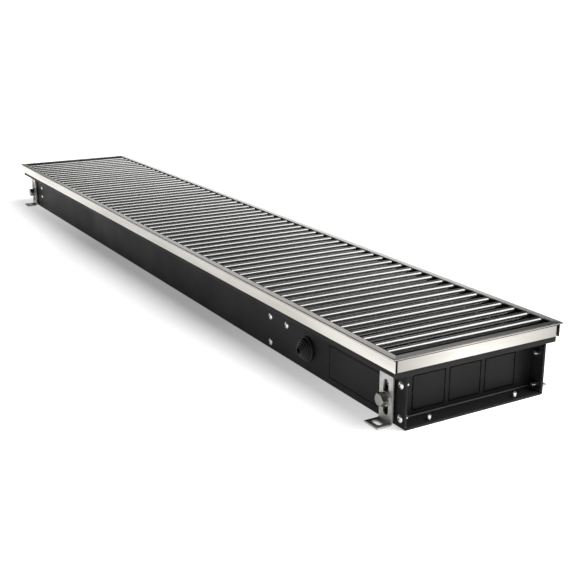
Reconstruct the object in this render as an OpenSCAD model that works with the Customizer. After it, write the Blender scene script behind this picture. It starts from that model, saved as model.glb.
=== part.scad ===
/* [Overall] */
// Length over the frame
frame_l = 1280; // [900:10:2400]
// Width over the frame
frame_w = 220; // [210:1:320]
// Height from the underside of the trough to the top of the frame
total_h = 80; // [78:1:120]
// How far each cut runs past the material
overrun = 0.5; // [0.3:0.1:1]

/* [Trough] */
// Thickness of the black sheet
sheet_t = 1.2; // [0.8:0.1:1.5]
// Inner radius of every fold in the sheet
bend_r = 1; // [0.6:0.1:2]
// From the frame's edge in to the trough's side wall
wall_inset = 18; // [16:0.5:24]
// From the frame's top down to the underside of the shelf
shelf_depth = 22.5; // [20:0.5:28]
// From the frame's edge in to the upturned edge of the shelf, long sides
tray_inset_side = 4.5; // [4:0.1:6]
// The same, short sides
tray_inset_end = 4.1; // [3.5:0.1:6]
// Air between the shelf's upturned edge and the frame's rim
tray_head_gap = 7; // [1:0.5:9]
// From the frame's edge in to the end panel
panel_recess = 24; // [20:1:30]
// Clearance between sheets that slip inside each other
sheet_fit = 0.1; // [0.05:0.01:0.2]

/* [Knock-outs] */
// Width of a knock-out in the end panel
knockout_w = 42; // [30:1:45]
// From the underside of the shelf down to the knock-outs
knockout_head_gap = 10.5; // [10:0.5:20]
// Plain sheet between two knock-outs of the end panel
knockout_gap = 5.3; // [4:0.1:8]
// Underside of the trough to the lower line of a knock-out
knockout_z = 9; // [8:0.5:12]
// Width of the line cut round a knock-out
cut_line_w = 1; // [0.6:0.1:2]
// Length of the bridge that holds a knock-out
bridge_l = 2.5; // [1:0.5:5]
// Length of the knock-out in the long side
side_knockout_l = 95; // [60:1:100]
// From the end of the frame to that knock-out
side_knockout_x = 46; // [45:1:60]

/* [Frame] */
// Width of the rim seen from above
rim_w = 8.2; // [7.8:0.1:12]
// Thickness of the rim
rim_t = 2; // [1.5:0.1:3]
// Rounding of the rim's outer edge
rim_edge_r = 1.1; // [0.4:0.1:1.4]
// Height of the outer skirt under the frame's top
skirt_h = 15.8; // [10:0.1:18]
// Thickness of the skirt and of the inner leg
web_t = 1.2; // [1:0.1:1.4]
// Air between the frame's webs and the black sheet
frame_fit = 0.3; // [0.1:0.05:0.5]
// Where the skirt of the long sides stops short of the frame's end
skirt_side_stop = 1.2; // [1:0.1:3]
// Open slit between the two skirts at a corner
corner_slit = 1.8; // [1:0.1:3]

/* [Grille] */
// Diameter of a rod
rod_d = 11; // [9:0.5:12]
// Rod spacing aimed at
rod_pitch_aim = 20.8; // [16:0.1:26]
// From the end of the frame to the first rod's axis
first_rod = 26; // [22:1:40]
// Air between the rod ends and the rim
rod_end_gap = 0.9; // [0.5:0.1:1.5]
// Chamfer on the rod ends
rod_chamfer = 1; // [0.3:0.1:1.5]
// Width of the strips that carry the rods
strip_w = 7; // [6:0.5:8]
// Gap between a rod and the strip that carries it
seat_gap = 0.3; // [0.2:0.05:0.5]
// From the grille's middle line to each joining wire
wire_y = 62; // [40:1:70]
// Diameter of the joining wire
wire_d = 3; // [2:0.1:4]
// How far the wire runs under the rod axis
wire_drop = 1.5; // [0.5:0.1:2]
// Clearance round the wire
wire_fit = 0.1; // [0.05:0.01:0.2]
// Wall of the spacer sleeves on the wire
spacer_wall = 0.8; // [0.5:0.1:1]
// Gap between a spacer sleeve and a rod
spacer_gap = 0.15; // [0.1:0.01:0.3]

/* [Foot brackets] */
// Width of a bracket
bracket_w = 22; // [20:0.5:26]
// Thickness of a bracket
bracket_t = 2; // [1.5:0.1:2.5]
// From the end of the frame to a bracket's middle line
bracket_x = 31; // [31:0.5:33]
// How far the foot reaches past the frame's edge
foot_reach = 3.5; // [0:0.5:8]
// Air between the bracket's head and the shelf
bracket_head_gap = 1.5; // [1:0.1:3]
// Inner radius of the bracket's fold
bracket_bend_r = 2; // [1:0.1:3]
// From the rivets in the wall down to the bolt's axis
bolt_drop = 15.6; // [14:0.1:17]
// Diameter of the levelling bolt
bolt_d = 8; // [6:0.5:8]
// Air between the bolt and the sides of its slot
slot_fit = 0.5; // [0.4:0.1:1]
// Height of the slot's lower end
slot_z = 8.5; // [8:0.5:12]
// From the underside of the shelf down to the slot's upper end
slot_head_gap = 10.9; // [9.5:0.1:14]
// Hexagon of the bolt head across its flats
bolt_head_af = 13; // [10:0.5:13]
// Height of the bolt head
bolt_head_h = 5.3; // [4:0.1:6]
// Chamfer on the bolt head
bolt_head_chamfer = 0.8; // [0.4:0.1:1]
// Diameter of the flat washer
washer_d = 16; // [15.5:0.5:18]
// Thickness of the flat washer
washer_t = 1.6; // [1:0.1:2]
// Outer diameter of the spring washer
spring_washer_d = 14; // [13:0.5:15]
// Thickness of the spring washer
spring_washer_t = 2; // [1.5:0.1:2.5]
// Split in the spring washer
spring_washer_split = 1.5; // [1:0.1:2]
// Length of the bolt's shank
bolt_l = 18; // [17:1:20]
// Thread clearance
thread_fit = 0.05; // [0.02:0.01:0.1]
// Outer diameter of the rivet nut's barrel
nut_d = 11; // [10:0.5:12]
// Length of the rivet nut's barrel behind the flange
nut_l = 15; // [13:1:18]
// Diameter of the rivet nut's flange
nut_flange_d = 15; // [14:0.5:16]
// Thickness of the rivet nut's flange
nut_flange_t = 1.8; // [1.7:0.1:2.2]
// Length of the floor slot in the foot
floor_slot_l = 13; // [11:0.5:15]
// Width of the floor slot in the foot
floor_slot_w = 6.5; // [5:0.5:7.5]
// From the foot's outer edge to the slot's middle line
floor_slot_edge = 8; // [7:0.5:9]

/* [Rivets] */
// Diameter of the rivet shank
rivet_d = 4; // [3:0.1:4.5]
// Clearance of the rivet in its hole
rivet_fit = 0.05; // [0.02:0.01:0.1]
// Diameter of the domed head
rivet_head_d = 8.4; // [7:0.1:9]
// Height of the domed head
rivet_head_h = 1.4; // [1:0.1:1.6]
// Diameter of the upset blind end
rivet_blind_d = 5.2; // [4.8:0.1:6]
// Length of the upset blind end
rivet_blind_l = 5.5; // [3:0.5:6.5]
// Diameter of the broken pin inside the rivet
rivet_pin_d = 2; // [1:0.1:2.2]
// How far the pin lies under the head and stands out of the blind end
rivet_pin_step = 0.9; // [0.5:0.1:1.2]
// From the end of the frame to the end panel's rivets
panel_rivet_x = 11.8; // [10:0.1:14]
// From the underside of the shelf down to the upper rivets in the end panel
panel_rivet_drop = 11.5; // [10:0.5:16]
// Height of the lower rivets in the end panel
panel_rivet_low_z = 10.4; // [10:0.1:14]
// From the middle line to the rivets in the floor
floor_rivet_y = 57; // [40:1:65]
// From the end of the frame to the rivets in the floor
floor_rivet_x = 10; // [9:0.5:12]
// From the underside of the shelf down to the upper row of rivets along the wall
wall_rivet_drop = 15.7; // [14:0.1:18]

/* [Heat exchanger] */
// Outer diameter of the water tube
tube_d = 15; // [12:0.5:15]
// Wall of the water tube
tube_wall = 1; // [0.8:0.1:1.5]
// Distance between the two upright pairs of tubes
tube_pitch_y = 54; // [46:1:60]
// Distance between the lower and the upper tubes
tube_pitch_z = 22; // [21.8:0.2:23]
// How far the exchanger hangs under the middle of the free height
exchanger_drop = 1.6; // [0:0.1:3]
// From the trough's middle line to the exchanger's
exchanger_y = 20; // [10:1:24]
// Width of a fin
fin_w = 110; // [90:1:115]
// Height of a fin
fin_h = 42; // [38:0.5:43]
// Thickness of a fin
fin_t = 0.4; // [0.3:0.1:0.8]
// Fin spacing
fin_pitch = 7; // [5:0.5:12]
// Wall of the collars between the fins
collar_wall = 0.5; // [0.3:0.1:0.8]
// Fit of the fins on the tube
tube_fit = 0.05; // [0.02:0.01:0.1]
// Air between the fins and the partitions
fin_end_gap = 12; // [8:1:20]
// Length of the sockets on the return bends
bend_socket_l = 8; // [5:1:10]
// How far the lower tubes pass the near partition
near_tube_l = 22; // [18:1:26]
// How far the tubes pass the far partition
far_tube_l = 16; // [14:1:18]

/* [Partitions] */
// From the end of the frame to the near partition's rivets
bulkhead_rivet_x = 273; // [240:1:300]
// Height of the near partition's lower rivets
bulkhead_rivet_low_z = 9.5; // [9:0.1:14]
// From the far end of the frame to the far partition's rivets
support_rivet_x = 73; // [73:1:90]
// From the far partition's upper rivets down to its lower ones
support_rivet_gap = 17.2; // [10:0.1:22]
// Width of the flange folded from a partition
flange_w = 14; // [12:0.5:16]
// Air over a partition, up to the grille's rods
partition_head_gap = 6; // [3:0.5:14]
// Wall of the plastic bushes round the tubes
bush_wall = 1.6; // [1.2:0.1:1.8]
// Rim that keeps a bush in its hole
bush_rim = 1.3; // [1:0.1:1.5]
// Thickness of that rim
bush_rim_t = 1.2; // [0.8:0.1:2]
// Air between the air baffle and the fins
baffle_gap = 3; // [2:0.5:6]
// Air under the baffle, above the trough's floor
baffle_low_gap = 16; // [10:1:24]

/* [Water connections] */
// Hexagon of the union across its flats
union_af = 25; // [24:0.5:26]
// Depth of the socket that holds the tube
union_socket_l = 10; // [8:1:14]
// Shoulder between the socket and the thread
union_shoulder_l = 6; // [6:0.5:10]
// Length of the inner thread
union_thread_l = 12; // [10:0.5:16]
// Minor diameter of the inner thread, half-inch pipe
union_thread_d = 19; // [18:0.1:19]
// How far the upper tubes pass the near partition
union_tube_l = 42; // [40:1:60]
// Hexagon of the air vent across its flats
vent_af = 9; // [8:0.5:10]
// Height of the air vent's hexagon
vent_h = 3; // [2:0.5:3.5]
// Diameter of the air vent's stem
vent_stem_d = 5; // [4.5:0.1:5.5]
// Diameter of the vent screw
vent_screw_d = 3; // [2.5:0.1:3.2]
// Running clearance of the vent screw
vent_fit = 0.05; // [0.02:0.01:0.1]
// Diameter of the vent screw's head
vent_head_d = 5; // [4.5:0.1:6]
// Height of the vent screw's head
vent_head_h = 2; // [1.5:0.1:2.5]
// Width and depth of the screwdriver slot
vent_slot = 0.9; // [0.5:0.1:1.2]

/* [Cable entry] */
// From the end of the frame to the grommet
grommet_x = 187.5; // [170:0.5:200]
// Height of the grommet's axis
grommet_z = 27.7; // [20:0.1:34]
// Diameter of the grommet's outer flange
grommet_d = 29; // [24:1:32]
// Thickness of each flange of the grommet
grommet_flange_t = 2.5; // [1.5:0.1:3]
// Depth of the groove under the flange
grommet_groove = 2.5; // [1.5:0.1:3]
// Number of steps in the grommet's cone
grommet_steps = 5; // [3:1:7]
// Height of one step
grommet_step_h = 1.9; // [1.2:0.1:2.5]
// Diameter of the cone's tip
grommet_tip_d = 9; // [8:0.5:12]
// Wall of the rubber cone
grommet_wall = 1.5; // [1:0.1:2]
// From the end of the frame to the cable clip's rivet
clip_rivet_x = 234.5; // [230:0.5:238]
// Width of the cable clip
clip_w = 10; // [9:0.5:12]
// Thickness of the cable clip's strip
clip_t = 1; // [0.6:0.1:1.5]
// Inner diameter of the clip's loop
clip_loop_d = 8; // [6:0.5:10]
// From the rivet down to the loop's top
clip_drop = 7; // [6:0.5:9]

/* [Hidden] */

black = [0.17, 0.17, 0.17];
rubber = [0.08, 0.08, 0.08];
frame_grey = [0.78, 0.77, 0.74];
steel = [0.72, 0.71, 0.68];
rod_grey = [0.74, 0.74, 0.73];
copper = [0.72, 0.43, 0.28];
brass = [0.76, 0.62, 0.35];
aluminium = [0.82, 0.83, 0.84];
plastic = [0.88, 0.88, 0.85];

round_fn = 48;
bend_steps = 4;
link_count = 8;

half_l = frame_l / 2;
half_w = frame_w / 2;
fold_r = bend_r + sheet_t;
wall_y = half_w - wall_inset;
tray_y = half_w - tray_inset_side;
tray_x = half_l - tray_inset_end;
shelf_z = total_h - shelf_depth;
shelf_top = shelf_z + sheet_t;
tray_top = total_h - rim_t - tray_head_gap;
knockout_h = shelf_z - knockout_head_gap - knockout_z;
panel_rivet_top_z = shelf_z - panel_rivet_drop;
wall_rivet_z = shelf_z - wall_rivet_drop;
support_rivet_low_z = wall_rivet_z - support_rivet_gap;
panel_x = half_l - panel_recess;
inner_y = wall_y - sheet_t - sheet_fit;

leg_y = tray_y - sheet_t - bend_r - web_t;
leg_x = tray_x - sheet_t - bend_r - web_t;
skirt_y = tray_y + frame_fit;
skirt_x = tray_x + frame_fit;

rod_r = rod_d / 2;
rod_z = total_h - rod_r;
rod_half_l = half_w - rim_w - rod_end_gap;
rod_count = round((frame_l - 2 * first_rod) / rod_pitch_aim) + 1;
rod_pitch = (frame_l - 2 * first_rod) / (rod_count - 1);
main_rods = rod_count - link_count;
wire_z = rod_z - wire_drop;

bracket_back_y = wall_y + nut_flange_t;
bracket_face_y = bracket_back_y + bracket_t;
bracket_top = shelf_z - bracket_head_gap;
foot_y = half_w + foot_reach;
bracket_places = [[1, -1], [1, 1], [-1, -1], [-1, 1]];
bracket_mid_x = half_l - bracket_x;
slot_w = bolt_d + 2 * slot_fit;
slot_top_z = shelf_z - slot_head_gap;
bolt_z = wall_rivet_z - bolt_drop;

bulkhead_x = half_l - bulkhead_rivet_x - flange_w / 2;
support_x = -half_l + support_rivet_x + flange_w / 2;
partition_top = total_h - rod_d - partition_head_gap;
fin_mid_z = (sheet_t + total_h - rod_d) / 2 - exchanger_drop;
tube_z = fin_mid_z - tube_pitch_z / 2;
tube_top_z = fin_mid_z + tube_pitch_z / 2;
tube_r = tube_d / 2;
tube_ys = [exchanger_y - tube_pitch_y / 2, exchanger_y + tube_pitch_y / 2];
fin_start = support_x + sheet_t + fin_end_gap;
fin_count = floor((bulkhead_x - sheet_t - fin_end_gap - fin_start - fin_t) / fin_pitch) + 1;
fin_run = (fin_count - 1) * fin_pitch + fin_t;
bush_r = tube_r + tube_fit + bush_wall;
baffle_y = exchanger_y - fin_w / 2 - baffle_gap;
tube_far_x = support_x - far_tube_l;
tube_near_x = bulkhead_x + near_tube_l;
union_tube_x = bulkhead_x + union_tube_l;
union_l = union_socket_l + union_shoulder_l + union_thread_l;
union_x = union_tube_x - union_socket_l;
vent_x = union_x + union_socket_l + union_shoulder_l / 2;
vent_base_z = tube_top_z + union_af / 2;

function rod_x(i) = -half_l + first_rod + i * rod_pitch;
function arc_points(cx, cy, r, from, to) = [
    for (i = [0:bend_steps]) [
        cx + r * cos(from + (to - from) * i / bend_steps),
        cy + r * sin(from + (to - from) * i / bend_steps)
    ]
];
function mirrored(points) = [for (i = [len(points) - 1:-1:0]) [-points[i][0], points[i][1]]];

// Half of the folded sheet seen along the trough, outside first
function trough_outside() = concat(
    arc_points(wall_y - fold_r, fold_r, fold_r, -90, 0),
    arc_points(wall_y + bend_r, shelf_z - bend_r, bend_r, 180, 90),
    arc_points(tray_y - fold_r, shelf_z + fold_r, fold_r, -90, 0),
    [[tray_y, tray_top]]
);
function trough_inside() = concat(
    [[tray_y - sheet_t, tray_top]],
    arc_points(tray_y - fold_r, shelf_z + fold_r, bend_r, 0, -90),
    arc_points(wall_y + bend_r, shelf_z - bend_r, fold_r, 90, 180),
    arc_points(wall_y - fold_r, fold_r, bend_r, 0, -90)
);

// Extrudes an outline drawn in Y and Z along the trough, from one place to another
module along_x(from, to) {
    translate([from, 0, 0]) rotate([90, 0, 90]) linear_extrude(to - from) children();
}

// Extrudes an outline drawn in X and Z across the trough, both ways from the middle
module across(half) {
    rotate([90, 0, 0]) translate([0, 0, -half]) linear_extrude(2 * half) children();
}

module box(low, high) {
    translate(low) cube(high - low);
}

// A cylinder that starts at a place and points along +X, -Y, +Y or +Z
module rod_along_x(place, r, l) {
    translate(place) rotate([0, 90, 0]) cylinder(r = r, h = l, $fn = round_fn);
}

module rod_along_y(place, r, l) {
    translate(place) rotate([-90, 0, 0]) cylinder(r = r, h = l, $fn = round_fn);
}

// A hole through the sheet of one side wall
module wall_hole(x, side, z, r) {
    rod_along_y([x, side * (wall_y - sheet_t / 2) - sheet_t / 2 - flange_w / 2, z], r, sheet_t + flange_w);
}

// The line cut round a knock-out, drawn flat, with a bridge half way up each side
module knockout_line(w, h) {
    difference() {
        square([w, h]);
        translate([cut_line_w, cut_line_w]) square([w - 2 * cut_line_w, h - 2 * cut_line_w]);
        translate([-overrun, (h - bridge_l) / 2]) square([w + 2 * overrun, bridge_l]);
    }
}

// A blind rivet along +Z: the head lies under zero and the blind end above the grip
module blind_rivet(grip) {
    dome_r = (pow(rivet_head_d / 2, 2) + pow(rivet_head_h, 2)) / (2 * rivet_head_h);
    difference() {
        union() {
            intersection() {
                translate([0, 0, dome_r - rivet_head_h]) sphere(dome_r, $fn = round_fn);
                translate([0, 0, -rivet_head_h]) cylinder(d = rivet_head_d, h = rivet_head_h, $fn = round_fn);
            }
            cylinder(d = rivet_d, h = grip, $fn = round_fn);
            translate([0, 0, grip]) cylinder(d = rivet_blind_d, h = rivet_blind_l, $fn = round_fn);
            translate([0, 0, grip + rivet_blind_l]) cylinder(d = rivet_pin_d, h = rivet_pin_step, $fn = round_fn);
        }
        translate([0, 0, -rivet_head_h - overrun])
            cylinder(d = rivet_pin_d, h = rivet_pin_step + overrun, $fn = round_fn);
    }
}

// A blind rivet through a side wall, its head outside
module wall_rivet(x, side, z, grip) {
    translate([x, side * wall_y, z]) rotate([side * 90, 0, 0]) blind_rivet(grip);
}

module trough_sheet() {
    half = concat(trough_outside(), trough_inside());
    along_x(-tray_x, tray_x) polygon(concat(half, mirrored(half)));
}

// Square windows that make the shelf and its edge end behind the end panel's upturned edge
module tray_end_cut(end) {
    low_x = end > 0 ? tray_x - sheet_t - sheet_fit : -tray_x - overrun;
    high_x = end > 0 ? tray_x + overrun : -tray_x + sheet_t + sheet_fit;
    box([low_x, -half_w, shelf_z - overrun], [high_x, half_w, total_h]);
}

module trough_body() color(black) difference() {
    trough_sheet();
    for (end = [-1, 1]) {
        tray_end_cut(end);
        for (side = [-1, 1]) {
            for (z = [panel_rivet_top_z, panel_rivet_low_z])
                wall_hole(end * (half_l - panel_rivet_x), side, z, rivet_d / 2 + rivet_fit);
            wall_hole(end * bracket_mid_x, side, bolt_z, nut_d / 2 + rivet_fit);
            wall_hole(end * bracket_mid_x, side, wall_rivet_z, rivet_d / 2 + rivet_fit);
            translate([end * (half_l - floor_rivet_x), side * floor_rivet_y, -overrun])
                cylinder(d = rivet_d + 2 * rivet_fit, h = sheet_t + 2 * overrun, $fn = round_fn);
        }
    }
    for (side = [-1, 1]) {
        for (z = [wall_rivet_z, bulkhead_rivet_low_z])
            wall_hole(half_l - bulkhead_rivet_x, side, z, rivet_d / 2 + rivet_fit);
        for (z = [wall_rivet_z, support_rivet_low_z])
            wall_hole(-half_l + support_rivet_x, side, z, rivet_d / 2 + rivet_fit);
        translate([half_l - side_knockout_x - side_knockout_l, side * (wall_y - sheet_t / 2) + sheet_t, knockout_z])
            rotate([90, 0, 0]) linear_extrude(2 * sheet_t) knockout_line(side_knockout_l, knockout_h);
    }
    wall_hole(half_l - grommet_x, -1, grommet_z, grommet_d / 2 - grommet_groove + rivet_fit);
    wall_hole(half_l - clip_rivet_x, -1, wall_rivet_z, rivet_d / 2 + rivet_fit);
}

// The end panel folded from one sheet: floor flange, panel, shelf and upturned edge, for the +X end
module end_panel_shape() {
    floor_z = sheet_t;
    difference() {
        union() {
            across(inner_y) polygon(concat(
                [[tray_x, floor_z], [tray_x, floor_z + sheet_t]],
                arc_points(panel_x + bend_r, floor_z + fold_r, bend_r, 270, 180),
                arc_points(panel_x + bend_r, shelf_z - bend_r, bend_r, 180, 90),
                [[tray_x, shelf_z], [tray_x, shelf_top]],
                arc_points(panel_x + bend_r, shelf_z - bend_r, fold_r, 90, 180),
                arc_points(panel_x + bend_r, floor_z + fold_r, fold_r, 180, 270)
            ));
            box([tray_x - sheet_t, -tray_y, shelf_z], [tray_x, tray_y, tray_top]);
            for (side = [-1, 1])
                box([panel_x - sheet_t, side > 0 ? inner_y - sheet_t : -inner_y, floor_z + fold_r],
                    [tray_x, side > 0 ? inner_y : -inner_y + sheet_t, shelf_z - fold_r]);
        }
        for (side = [-1, 1]) {
            for (z = [panel_rivet_top_z, panel_rivet_low_z])
                wall_hole(half_l - panel_rivet_x, side, z, rivet_d / 2 + rivet_fit);
            translate([half_l - floor_rivet_x, side * floor_rivet_y, 0])
                cylinder(d = rivet_d + 2 * rivet_fit, h = 3 * sheet_t, $fn = round_fn);
            box([panel_x - 2 * sheet_t, side > 0 ? inner_y - bend_r : -half_w, 0],
                [tray_x + overrun, side > 0 ? half_w : -inner_y + bend_r, floor_z + bend_r]);
        }
        for (i = [-1, 0, 1])
            along_x(panel_x - 2 * sheet_t, panel_x + sheet_t)
                translate([i * (knockout_w + knockout_gap) - knockout_w / 2, knockout_z])
                    knockout_line(knockout_w, knockout_h);
    }
}

module end_panel_connection() color(black) end_panel_shape();
module end_panel_far() color(black) mirror([1, 0, 0]) end_panel_shape();

// A partition across the trough with holes for the tube bushes and two riveted side flanges
module partition(x, side_x, rivet_x, low_rivet_z) {
    flange_end = x + side_x * flange_w;
    difference() {
        union() {
            box([min(x, x - side_x * sheet_t), -inner_y, sheet_t + fold_r],
                [max(x, x - side_x * sheet_t), inner_y, partition_top]);
            for (side = [-1, 1])
                box([min(x - side_x * sheet_t, flange_end), side > 0 ? inner_y - sheet_t : -inner_y, sheet_t + fold_r],
                    [max(x - side_x * sheet_t, flange_end), side > 0 ? inner_y : -inner_y + sheet_t, partition_top]);
        }
        for (y = tube_ys, z = [tube_z, tube_top_z])
            rod_along_x([x - 2 * sheet_t, y, z], bush_r + tube_fit, 4 * sheet_t);
        for (side = [-1, 1], z = [wall_rivet_z, low_rivet_z])
            wall_hole(rivet_x, side, z, rivet_d / 2 + rivet_fit);
    }
}

module bulkhead() color(black) partition(bulkhead_x, 1, half_l - bulkhead_rivet_x, bulkhead_rivet_low_z);
module coil_support() color(black)
    partition(support_x, -1, -half_l + support_rivet_x, support_rivet_low_z);

// The sheet that parts the cold air from the fins, with a welded tab at each partition
module air_baffle() color(black) union() {
    low = support_x + sheet_t;
    high = bulkhead_x - sheet_t;
    box([low, baffle_y - sheet_t, baffle_low_gap], [high, baffle_y, partition_top]);
    for (end = [0, 1])
        box([end > 0 ? high - sheet_t : low, baffle_y - flange_w, baffle_low_gap],
            [end > 0 ? high : low + sheet_t, baffle_y, partition_top]);
}

// The rim's outline with a rounded outer edge, its outer edge at zero and its top at zero
module rim_outline() {
    difference() {
        translate([-rim_w, -rim_t]) square([rim_w, rim_t]);
        translate([-rim_edge_r, -rim_edge_r]) difference() {
            square([rim_edge_r + overrun, rim_edge_r + overrun]);
            circle(rim_edge_r, $fn = round_fn);
        }
    }
}

// A bar of the rim, half a length each way, with its mitred corners
module rim_bar(half, edge) {
    difference() {
        along_x(-half, half) translate([edge, total_h]) rim_outline();
        for (end = [-1, 1])
            translate([end * half, edge, total_h - rim_t - overrun])
                rotate([0, 0, end > 0 ? -135 : -45]) mirror([0, end > 0 ? 0 : 1, 0]) mitre_block();
    }
}

// A block with one face along +X, on its +Y side
module mitre_block() {
    translate([-rim_w, 0, 0]) cube([4 * rim_w, 2 * rim_w, rim_t + 2 * overrun]);
}

module frame_side_shape() {
    rim_bar(half_l, half_w);
    box([-half_l + skirt_side_stop, skirt_y, total_h - skirt_h],
        [half_l - skirt_side_stop, skirt_y + web_t, total_h - rim_t]);
    box([-leg_x - web_t, leg_y, shelf_top], [leg_x + web_t, leg_y + web_t, total_h - rim_t]);
}

module frame_end_shape() {
    rotate([0, 0, -90]) rim_bar(half_w, half_l);
    skirt_half = skirt_y - corner_slit;
    box([skirt_x, -skirt_half, total_h - skirt_h], [skirt_x + web_t, skirt_half, total_h - rim_t]);
    box([leg_x, -leg_y, shelf_top], [leg_x + web_t, leg_y, total_h - rim_t]);
}

module frame_side_front() color(frame_grey) mirror([0, 1, 0]) frame_side_shape();
module frame_side_back() color(frame_grey) frame_side_shape();
module frame_end_connection() color(frame_grey) frame_end_shape();
module frame_end_far() color(frame_grey) mirror([1, 0, 0]) frame_end_shape();

module support_strip(side) {
    outer = leg_y - frame_fit;
    box([-leg_x + frame_fit, side > 0 ? outer - strip_w : -outer, shelf_top],
        [leg_x - frame_fit, side > 0 ? outer : -outer + strip_w, rod_z - rod_r - seat_gap]);
}

module support_strip_front() color(rubber) support_strip(-1);
module support_strip_back() color(rubber) support_strip(1);

// One grille rod across the trough, drilled for the joining wires
module grille_rod(i) {
    translate([rod_x(i), 0, 0]) difference() {
        translate([0, 0, rod_z]) rotate([90, 0, 0]) rotate_extrude($fn = round_fn) polygon([
            [0, -rod_half_l],
            [rod_r - rod_chamfer, -rod_half_l],
            [rod_r, -rod_half_l + rod_chamfer],
            [rod_r, rod_half_l - rod_chamfer],
            [rod_r - rod_chamfer, rod_half_l],
            [0, rod_half_l]
        ]);
        for (side = [-1, 1])
            rod_along_x([-rod_d, side * wire_y, wire_z], wire_d / 2 + wire_fit, 2 * rod_d);
    }
}

// The two spacer sleeves on the -X side of a rod
module rod_spacers(i) {
    sleeve_l = rod_pitch - rod_d - 2 * spacer_gap;
    start = rod_x(i) - rod_r - spacer_gap - sleeve_l;
    for (side = [-1, 1]) difference() {
        rod_along_x([start, side * wire_y, wire_z], wire_d / 2 + wire_fit + spacer_wall, sleeve_l);
        rod_along_x([start - overrun, side * wire_y, wire_z], wire_d / 2 + wire_fit, sleeve_l + 2 * overrun);
    }
}

module grille_rods() color(rod_grey) for (i = [0:main_rods - 1]) grille_rod(i);
module grille_spacers() color(rubber) for (i = [1:main_rods - 1]) rod_spacers(i);
module grille_wires() color(steel) for (side = [-1, 1])
    rod_along_x([rod_x(0) - rod_r, side * wire_y, wire_z], wire_d / 2, rod_x(main_rods - 1) - rod_x(0) + rod_d);
module link_rod(number) color(rod_grey) grille_rod(main_rods - 1 + number);
module link_spacers(number) color(rubber) rod_spacers(main_rods - 1 + number);

// A slot with round ends, drawn flat along the first axis, from one end to the other
module slot_outline(from, to, w) {
    translate([from + w / 2, -w / 2]) square([to - from - w, w]);
    translate([from + w / 2, 0]) circle(d = w, $fn = round_fn);
    translate([to - w / 2, 0]) circle(d = w, $fn = round_fn);
}

// The L-shaped foot for the back wall, its middle line at zero
module foot_bracket() {
    outer_r = bracket_bend_r + bracket_t;
    difference() {
        along_x(-bracket_w / 2, bracket_w / 2) polygon(concat(
            [[foot_y, 0], [foot_y, bracket_t]],
            arc_points(bracket_face_y + bracket_bend_r, outer_r, bracket_bend_r, 270, 180),
            [[bracket_face_y, bracket_top], [bracket_back_y, bracket_top]],
            arc_points(bracket_face_y + bracket_bend_r, outer_r, outer_r, 180, 270)
        ));
        translate([0, bracket_face_y + overrun, 0]) rotate([90, -90, 0])
            linear_extrude(bracket_t + 2 * overrun) slot_outline(slot_z, slot_top_z, slot_w);
        translate([0, foot_y - floor_slot_edge, -overrun]) linear_extrude(bracket_t + 2 * overrun)
            slot_outline(-floor_slot_l / 2, floor_slot_l / 2, floor_slot_w);
    }
}

module placed_bracket(place) color(steel)
    translate([place[0] * bracket_mid_x, 0, 0]) mirror([0, place[1] > 0 ? 0 : 1, 0]) foot_bracket();

// Places a fastener that is modelled along +Z at each bracket's bolt, with zero at a distance from the wall
module at_bolts(distance) {
    for (place = bracket_places)
        translate([place[0] * bracket_mid_x, place[1] * (wall_y + distance), bolt_z])
            rotate([-place[1] * 90, 0, 0]) children();
}

module ring(outer_d, inner_d, h) {
    difference() {
        cylinder(d = outer_d, h = h, $fn = round_fn);
        translate([0, 0, -overrun]) cylinder(d = inner_d, h = h + 2 * overrun, $fn = round_fn);
    }
}

washer_start = nut_flange_t + bracket_t;
head_start = washer_start + washer_t + spring_washer_t;

module rivet_nuts() color(steel) at_bolts(0) difference() {
    union() {
        cylinder(d = nut_flange_d, h = nut_flange_t, $fn = round_fn);
        translate([0, 0, -nut_l]) cylinder(d = nut_d, h = nut_l + overrun, $fn = round_fn);
    }
    translate([0, 0, -nut_l - overrun])
        cylinder(d = bolt_d + 2 * thread_fit, h = nut_l + nut_flange_t + 2 * overrun, $fn = round_fn);
}

module flat_washers() color(steel) at_bolts(washer_start) ring(washer_d, bolt_d + slot_fit, washer_t);

module spring_washers() color(steel) at_bolts(washer_start + washer_t) difference() {
    ring(spring_washer_d, bolt_d + slot_fit, spring_washer_t);
    translate([0, -spring_washer_split / 2, -overrun])
        cube([spring_washer_d, spring_washer_split, spring_washer_t + 2 * overrun]);
}

module foot_bolts() color(steel) at_bolts(head_start) {
    corner_d = bolt_head_af / cos(30);
    intersection() {
        cylinder(d = corner_d, h = bolt_head_h, $fn = 6);
        union() {
            cylinder(d = corner_d, h = bolt_head_h - bolt_head_chamfer, $fn = round_fn);
            translate([0, 0, bolt_head_h - bolt_head_chamfer])
                cylinder(d1 = corner_d, d2 = bolt_head_af - bolt_head_chamfer, h = bolt_head_chamfer, $fn = round_fn);
        }
    }
    translate([0, 0, -bolt_l]) cylinder(d = bolt_d, h = bolt_l, $fn = round_fn);
}

// All fins, with their collars, pressed on the four tubes
module fin_pack() color(aluminium) difference() {
    union() {
        for (i = [0:fin_count - 1])
            translate([fin_start + i * fin_pitch, exchanger_y - fin_w / 2, fin_mid_z - fin_h / 2])
                cube([fin_t, fin_w, fin_h]);
        for (y = tube_ys, z = [tube_z, tube_top_z])
            rod_along_x([fin_start, y, z], tube_r + tube_fit + collar_wall, fin_run);
    }
    for (y = tube_ys, z = [tube_z, tube_top_z])
        rod_along_x([fin_start - overrun, y, z], tube_r + tube_fit, fin_run + 2 * overrun);
}

module pipe_x(from, to, y, z) {
    difference() {
        rod_along_x([from, y, z], tube_r, to - from);
        rod_along_x([from - overrun, y, z], tube_r - tube_wall, to - from + 2 * overrun);
    }
}

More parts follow.
